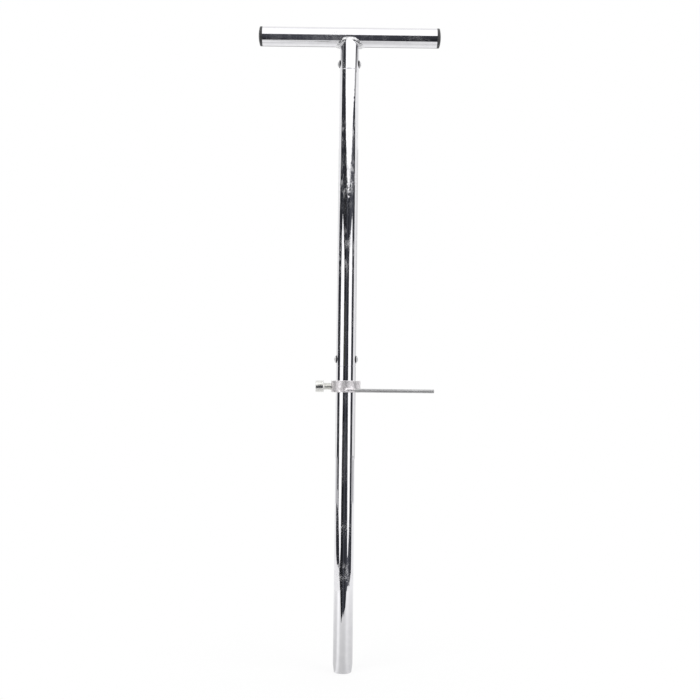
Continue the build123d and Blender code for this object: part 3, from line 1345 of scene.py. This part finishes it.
def grid_faces(rows: int, columns: int) -> list[tuple[int, int, int, int]]:
    """Join a grid of points, listed row by row.

    Args:
        rows: Rows of points.
        columns: Points in a row.

    Returns:
        Corner indices of each face.
    """
    corners = [row * columns + column for row in range(rows - 1) for column in range(columns - 1)]
    return [(here, here + 1, here + columns + 1, here + columns) for here in corners]


@dataclass(frozen=True)
class Card:
    """A sheet of the studio that only reflections see.

    Attributes:
        label: Name of the sheet.
        colour: Its light, where 1 is white.
    """

    label: str
    colour: Colour = WHITE

    def hang(
        self, vertices: Sequence[Vector], faces: Sequence[Sequence[int]] = (), tones: Sequence[float] = ()
    ) -> None:
        """Hang the sheet in the studio.

        Args:
            vertices: Its corners.
            faces: Its faces, or nothing for a single face with all corners.
            tones: Brightness at each corner, or nothing for an even sheet.
        """
        obj = mesh_object(self.label, vertices, faces or [range(len(vertices))])
        material = bpy.data.materials.new(self.label)
        material.use_nodes = True
        material.node_tree.nodes.clear()
        hand = Nodes(material.node_tree)
        light = hand.add("ShaderNodeEmission", {"Color": self.colour})
        if tones:
            layer = obj.data.attributes.new("tone", "FLOAT", "POINT")
            layer.data.foreach_set("value", list(tones))
            read = hand.add("ShaderNodeAttribute", attribute_name="tone")
            hand.fill(light, {"Strength": read.outputs["Fac"]})
        hand.add("ShaderNodeOutputMaterial", {"Surface": light.outputs[0]})
        obj.data.materials.append(material)
        obj.visible_camera = False
        obj.visible_diffuse = False
        obj.visible_transmission = False
        obj.visible_shadow = False
        LOG.info("hung %s", self.label)

    def band(self, edges: Sequence[tuple[Vector, Vector]], tones: Sequence[float] = ()) -> None:
        """Hang the sheet as a band between two edges.

        Args:
            edges: Pairs of points, one on each edge.
            tones: Brightness at each pair, or nothing for an even band.
        """
        vertices = [point for pair in edges for point in pair]
        faces = [(2 * k, 2 * k + 2, 2 * k + 3, 2 * k + 1) for k in range(len(edges) - 1)]
        self.hang(vertices, faces, [tone for tone in tones for _ in range(2)])


@dataclass(frozen=True)
class Camera:
    """The camera of the photograph.

    Attributes:
        place: Its position.
        pitch: Upward tilt, in degrees.
        yaw: Turn to the right, in degrees.
        roll: Turn about the line of sight, in degrees.
        lens: Focal length, in millimetres.
        sensor: Width of the sensor, in millimetres.
        sight: Farthest distance that it sees.
    """

    place: tuple[float, float, float] = (-0.0001, -1.09882, 0.30356)
    pitch: float = 2.871
    yaw: float = 0.229
    roll: float = 0.647
    lens: float = 50.0
    sensor: float = 36.0
    sight: float = 50.0

    def stand(self) -> None:
        """Stand the camera in the scene."""
        pitch, yaw, roll = (math.radians(a) for a in (self.pitch, self.yaw, self.roll))
        level = math.cos(pitch)
        ahead = Vector((math.sin(yaw) * level, math.cos(yaw) * level, math.sin(pitch)))
        right = ahead.cross(Vector((0.0, 0.0, 1.0))).normalized()
        up = right.cross(ahead)
        tilted_right = right * math.cos(roll) + up * math.sin(roll)
        tilted_up = up * math.cos(roll) - right * math.sin(roll)
        data = bpy.data.cameras.new("camera")
        data.lens = self.lens
        data.sensor_width = self.sensor
        data.clip_end = self.sight
        obj = link(bpy.data.objects.new("camera", data))
        axes = Matrix((tilted_right, tilted_up, -ahead)).transposed().to_4x4()
        obj.matrix_world = Matrix.Translation(Vector(self.place)) @ axes
        bpy.context.scene.camera = obj

    def mirrored(self, azimuth: float, elevation: float, distance: float) -> Vector:
        """Point that the camera sees mirrored in the shaft.

        Args:
            azimuth: Bearing of the mirrored ray, in degrees.
            elevation: Slope of the ray, in degrees.
            distance: Distance of the point from the shaft.

        Returns:
            The point.
        """
        _, away, height = self.place
        rise = (distance - away) * math.tan(math.radians(elevation))
        return bearing(azimuth, distance, height + rise)


@dataclass(frozen=True)
class DarkRoom:
    """The dark room behind the camera, which the chrome mirrors between the white sheets.

    Attributes:
        colour: Its light at tone 1.
        distance: Distance of its wall.
        skyline: Azimuth and elevation of the wall's top, as mirrored in the shaft.
        floor_edge: Azimuth and distance at which its floor turns from white to dark.
        floor_level: Height of its floor.
        tones: Azimuth and brightness of wall, floor and skirt.
        skirt_distance: Distance of the low dark skirt in front of the probe.
        skirt_top: Height of the skirt's top.
        skirt_edge: Azimuth and height of its lower edge.
        flag_light: Light of the dark flag that the screw's head mirrors.
        flag_place: Left, right, lower and upper edge of the flag.
        flag_distance: Distance of the flag in front of the shaft.
    """

    colour: Colour = (0.040, 0.042, 0.050)
    distance: float = 4.0
    skyline: tuple[Point2, ...] = (
        (-117, 7), (-113, 11), (-108, 12.3), (-101, 14.2), (-97, 16), (-95.5, 18.9), (-88, 19.2), (-86, 22),
        (-46, 22), (-43, 18), (-36, 16.4), (-31, 15.1), (-20, 14.1), (-12, 12.8), (8, 11.9), (16, 12.3),
        (24, 12.8), (28, 13.4), (37, 14.0), (41, 14.5), (45, 15.1), (47, 15.8), (50, 16.4), (55, 16.9),
        (61, 17.4), (67, 17.9), (73, 18.3), (79, 17.6), (84, 16.2), (89, 14), (92, 11),
    )
    floor_edge: tuple[Point2, ...] = (
        (-116, 1.6), (-110, 1.0), (-104, 0.84), (-90, 0.716), (-58, 0.69), (-53, 0.623), (-45, 0.524),
        (-39, 0.47), (33, 0.46), (48, 0.515), (74, 0.53), (95, 0.65), (97, 0.9),
    )
    floor_level: float = 0.6 * MM
    tones: tuple[Point2, ...] = (
        (-105, 1.0), (-85, 0.5), (-70, 0.9), (-24, 0.35), (-16, 0.45), (-5, 1.6), (4, 1.2), (12, 0.4),
        (22, 1.2), (45, 2.0), (66, 1.4), (80, 0.6), (94, 1.2),
    )
    skirt_distance: float = 0.25
    skirt_top: float = 0.0435
    skirt_edge: tuple[Point2, ...] = (
        (-37, 0.0405), (-31, 0.020), (-24, 0.0), (-15, 0.008), (0, 0.016), (7, 0.0103), (12, 0.016),
        (17, 0.019), (25, 0.0243), (33, 0.0405),
    )
    flag_light: Colour = (0.085, 0.088, 0.070)
    flag_place: tuple[float, float, float, float] = (-0.048, -0.029, 0.344, 0.425)
    flag_distance: float = 0.12

    def hang(self, camera: Camera) -> None:
        """Hang the wall, the floor, the skirt and the screw's flag.

        Args:
            camera: The camera that sees them in the shaft.
        """
        wall, floor, skirt = [], [], []
        for at, elevation in sampled(self.skyline):
            top = camera.mirrored(at, elevation, self.distance)
            wall.append((at, bearing(at, self.distance, 0.0), top))
        for at, distance in sampled(self.floor_edge):
            near = bearing(at, distance, self.floor_level)
            floor.append((at, near, bearing(at, self.distance, self.floor_level)))
        for at, height in sampled(self.skirt_edge):
            foot = bearing(at, self.skirt_distance, height)
            skirt.append((at, foot, bearing(at, self.skirt_distance, self.skirt_top)))
        for label, columns in (("dark_wall", wall), ("dark_floor", floor), ("dark_skirt", skirt)):
            tones = [along_stops(self.tones, at) for at, _, _ in columns]
            Card(label, self.colour).band([(first, second) for _, first, second in columns], tones)
        left, right, low, high = self.flag_place
        corners = ((left, low), (right, low), (right, high), (left, high))
        Card("screw_flag", self.flag_light).hang([Vector((x, -self.flag_distance, z)) for x, z in corners])


@dataclass(frozen=True)
class WhiteSheets:
    """The bright sheets: side panels, ceiling, high grey sheets, far floor, back board and lit floor.

    Attributes:
        light: Light of panels and ceiling.
        panel_offset: Distance of the panels' planes from the shaft.
        left: Azimuth and elevation of the left panel's corners, as mirrored in the shaft.
        right: The same of the right panel.
        ceiling_distance: Radius of the ceiling.
        ceiling_reach: Largest azimuth of the ceiling.
        ceiling_rise: Lowest and highest elevation of the ceiling.
        ceiling_step: Degrees between the ceiling's points.
        greys: Light of each high grey sheet, and azimuth and elevation of its corners.
        grey_distance: Distance of these sheets.
        far_floor: First and last azimuth, nearest and farthest distance of each stretch of grey floor.
        far_light: Light of the grey floor.
        far_level: Height of the grey floor.
        back_tones: Azimuth and brightness of the board behind the probe.
        back_distance: Distance of that board.
        back_height: Its height.
        floor_tones: Azimuth and brightness of the floor at the foot.
        floor_fall: Brightness of the floor close to the foot and at its far edge.
        floor_reach: Distance to which the floor's brightness is given.
        floor_level: Height of that floor.
        floor_ring: Distance between its rings of points.
        floor_step: Degrees between the points of both floors.
    """

    light: Colour = (1.3, 1.3, 1.3)
    panel_offset: float = 0.45
    left: tuple[Point2, ...] = (
        (-61, 10.7), (-50, 10.0), (-40, 8.9), (-33.5, 7.8), (-32.5, 4), (-36, -1), (-39.5, -6), (-40, -8.6),
        (-49, -9.7), (-55, -8.9), (-60, -7.8), (-72, -6.5), (-75, 0), (-72, 7.5), (-67, 9.6),
    )
    right: tuple[Point2, ...] = (
        (57, 10.7), (45, 10.0), (31, 9.1), (24.5, 8.2), (24.5, 3.5), (29.5, -0.5), (34, -5.5), (40, -8.9),
        (46, -9.1), (55, -7.8), (60, -6.6), (59, 0), (59.5, 8.5),
    )
    ceiling_distance: float = 4.5
    ceiling_reach: float = 88.0
    ceiling_rise: Point2 = (6.0, 90.0)
    ceiling_step: float = 8.0
    greys: tuple[tuple[float, tuple[Point2, ...]], ...] = (
        (0.34, ((64, 17.2), (84, 17.0), (112, 22), (90, 22))),
        (0.30, ((-94, 18.9), (-85, 18.9), (-75, 20.4), (-75, 22), (-94, 22))),
        (0.55, ((-124, 19.1), (-104, 19.1), (-104, 23), (-124, 23))),
        (0.48, ((104, 19.1), (126, 19.1), (126, 23), (104, 23))),
    )
    grey_distance: float = 3.5
    far_floor: tuple[tuple[float, float, float, float], ...] = (
        (-130, -99, 1.75, 4.0), (-99, -83, 1.65, 2.2), (87, 130, 1.75, 4.0),
    )
    far_light: Colour = (0.56, 0.56, 0.57)
    far_level: float = 1.0 * MM
    back_tones: tuple[Point2, ...] = (
        (104, 0.98), (116, 0.87), (148, 0.85), (163, 0.26), (194, 0.18), (205, 0.92),
    )
    back_distance: float = 3.9
    back_height: float = 1.6
    floor_tones: tuple[Point2, ...] = (
        (-180, 0.84), (-130, 0.82), (-108, 0.72), (-80, 0.76), (-70, 0.95), (-59, 1.08), (-46, 0.95),
        (-30, 0.72), (0, 0.68), (20, 0.72), (40, 0.88), (55, 0.88), (72, 0.80), (108, 0.76), (130, 0.80),
        (180, 0.84),
    )
    floor_fall: Point2 = (0.92, 1.22)
    floor_reach: float = 0.47
    floor_level: float = 0.3 * MM
    floor_ring: float = 0.06
    floor_step: float = 4.0

    def hang(self, camera: Camera) -> None:
        """Hang all sheets.

        Args:
            camera: The camera that sees them in the shaft.
        """
        for label, outline in (("left_panel", self.left), ("right_panel", self.right)):
            corners = []
            for at, elevation in outline:
                distance = self.panel_offset / abs(math.sin(math.radians(at)))
                corners.append(camera.mirrored(at, elevation, distance))
            Card(label, self.light).hang(corners)
        for light, outline in self.greys:
            corners = [camera.mirrored(at, elevation, self.grey_distance) for at, elevation in outline]
            Card("grey_sheet", (light, light, light)).hang(corners)
        for first, last, near, far in self.far_floor:
            edges = []
            for at in spread(first, last, self.floor_step):
                edges.append((bearing(at, near, self.far_level), bearing(at, far, self.far_level)))
            Card("far_floor", self.far_light).band(edges)
        edges, tones = [], []
        for at, tone in sampled(self.back_tones):
            top = bearing(at, self.back_distance, self.back_height)
            edges.append((bearing(at, self.back_distance, 0.0), top))
            tones.append(tone)
        Card("back_board").band(edges, tones)
        self.ceiling(camera)
        self.floor()

    def ceiling(self, camera: Camera) -> None:
        """Hang the ceiling as a quarter of a dome in front of the probe.

        Args:
            camera: The camera, whose height is the dome's centre.
        """
        azimuths = spread(-self.ceiling_reach, self.ceiling_reach, self.ceiling_step)
        elevations = spread(*self.ceiling_rise, self.ceiling_step)
        vertices: list[Vector] = []
        for elevation in map(math.radians, elevations):
            height = camera.place[2] + self.ceiling_distance * math.sin(elevation)
            reach = self.ceiling_distance * math.cos(elevation)
            vertices.extend(bearing(azimuth, reach, height) for azimuth in azimuths)
        Card("ceiling", self.light).hang(vertices, grid_faces(len(elevations), len(azimuths)))

    def floor(self) -> None:
        """Lay the lit floor round the foot of the probe."""
        columns = sampled(self.floor_tones, self.floor_step)
        distances = spread(0.0, self.floor_reach, self.floor_ring)
        near, far = self.floor_fall
        vertices: list[Vector] = []
        tones: list[float] = []
        for distance in distances:
            fall = near + (far - near) * distance / self.floor_reach
            vertices.extend(bearing(azimuth, distance, self.floor_level) for azimuth, _ in columns)
            tones.extend(tone * fall for _, tone in columns)
        Card("lit_floor").hang(vertices, grid_faces(len(distances), len(columns)), tones)


@dataclass(frozen=True)
class Lamp:
    """A soft square lamp.

    Attributes:
        label: Its name.
        place: Its position.
        size: Length of its side.
        power: Its power, in watts.
    """

    label: str
    place: tuple[float, float, float]
    size: float
    power: float

    def hang(self, target: Vector) -> None:
        """Hang the lamp.

        Args:
            target: The point that it faces.
        """
        data = bpy.data.lights.new(self.label, "AREA")
        data.size = self.size
        data.energy = self.power
        obj = link(bpy.data.objects.new(self.label, data))
        obj.location = self.place
        obj.rotation_euler = (target - Vector(self.place)).to_track_quat("-Z", "Y").to_euler()
        obj.visible_glossy = False


@dataclass(frozen=True)
class Studio:
    """Camera, floor, light and sheets around the probe.

    Attributes:
        camera: The camera.
        room: The dark room behind it.
        sheets: The bright sheets.
        lamps: The lamps.
        fill: Strength of the white room for rays that aren't seen.
        floor_reach: Half the floor's side.
        floor_level: Height of the floor, just under the cutting edge.
        floor_paper: Colour of the floor.
        floor_roughness: Roughness of the floor.
        floor_gloss: Specular level of the floor.
        shadow_share: Share of plain white in the floor's look at the foot.
        shadow_reach: Distances from the foot between which that share grows to the whole.
    """

    camera: Camera = Camera()
    room: DarkRoom = DarkRoom()
    sheets: WhiteSheets = WhiteSheets()
    lamps: tuple[Lamp, ...] = (
        Lamp("key_lamp", (-1.3, -1.7, 2.2), 1.6, 26.0),
        Lamp("fill_lamp", (1.8, -1.2, 1.8), 1.6, 18.0),
        Lamp("top_lamp", (0.2, 0.4, 2.8), 2.4, 34.0),
    )
    fill: float = 0.35
    floor_reach: float = 9.0
    floor_level: float = -0.3 * MM
    floor_paper: Colour = (0.97, 0.97, 0.97)
    floor_roughness: float = 0.9
    floor_gloss: float = 0.1
    shadow_share: float = 0.85
    shadow_reach: Point2 = (0.02, 0.30)

    def build(self) -> None:
        """Set up the whole studio."""
        bpy.context.scene.view_settings.view_transform = "Standard"
        self.camera.stand()
        self.world()
        self.floor()
        for lamp in self.lamps:
            lamp.hang(Vector((0.0, 0.0, self.camera.place[2])))
        self.room.hang(self.camera)
        self.sheets.hang(self.camera)

    def seen(self, hand: Nodes) -> Socket:
        """Tell the rays that show a thing from the rays that light one.

        Args:
            hand: Wiring hand of the tree.

        Returns:
            A socket with 1 for camera, glossy and transmission rays.
        """
        path = hand.add("ShaderNodeLightPath").outputs
        direct = hand.math("MAXIMUM", path["Is Camera Ray"], path["Is Glossy Ray"])
        return hand.math("MAXIMUM", direct, path["Is Transmission Ray"])

    def world(self) -> None:
        """White all round for the rays that are seen, a grey fill for everything else."""
        world = bpy.data.worlds.new("white_room")
        world.use_nodes = True
        bpy.context.scene.world = world
        world.node_tree.nodes.clear()
        hand = Nodes(world.node_tree)
        strength = hand.total(self.fill, (self.seen(hand), 1.0 - self.fill))
        light = hand.add("ShaderNodeBackground", {"Color": WHITE, "Strength": strength})
        hand.add("ShaderNodeOutputWorld", {"Surface": light.outputs[0]})

    def floor(self) -> None:
        """Lay a white floor that keeps the probe's shadow."""
        signs = ((-1, -1), (1, -1), (1, 1), (-1, 1))
        corners = [Vector((x * self.floor_reach, y * self.floor_reach, self.floor_level)) for x, y in signs]
        obj = mesh_object("floor", corners, [(0, 1, 2, 3)])
        material, hand, shader = blank_material("floor_paper")
        hand.fill(shader, {
            "Base Color": self.floor_paper,
            "Roughness": self.floor_roughness,
            "Specular IOR Level": self.floor_gloss,
        })
        white = hand.add("ShaderNodeEmission", {"Color": WHITE})
        place = hand.add("ShaderNodeNewGeometry").outputs["Position"]
        away = hand.add("ShaderNodeVectorMath", {0: place}, operation="LENGTH").outputs["Value"]
        share = hand.ramp(away, *self.shadow_reach)
        share = hand.total(self.shadow_share, (share, 1.0 - self.shadow_share))
        share = hand.math("MULTIPLY", self.seen(hand), share)
        blend = hand.add("ShaderNodeMixShader", {0: share, 1: shader.outputs[0], 2: white.outputs[0]})
        out = next(node for node in material.node_tree.nodes if node.type == "OUTPUT_MATERIAL")
        hand.fill(out, {"Surface": blend.outputs[0]})
        obj.data.materials.append(material)


def main() -> None:
    """Build the probe and its studio in order."""
    logging.basicConfig(level=logging.INFO, format="%(name)s: %(message)s")
    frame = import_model()
    effects = Effects()
    for assembly in (Shaft(), Handle(), DepthStop()):
        assembly.build(frame, effects)
    Studio().build()


if __name__ == "__main__":
    main()
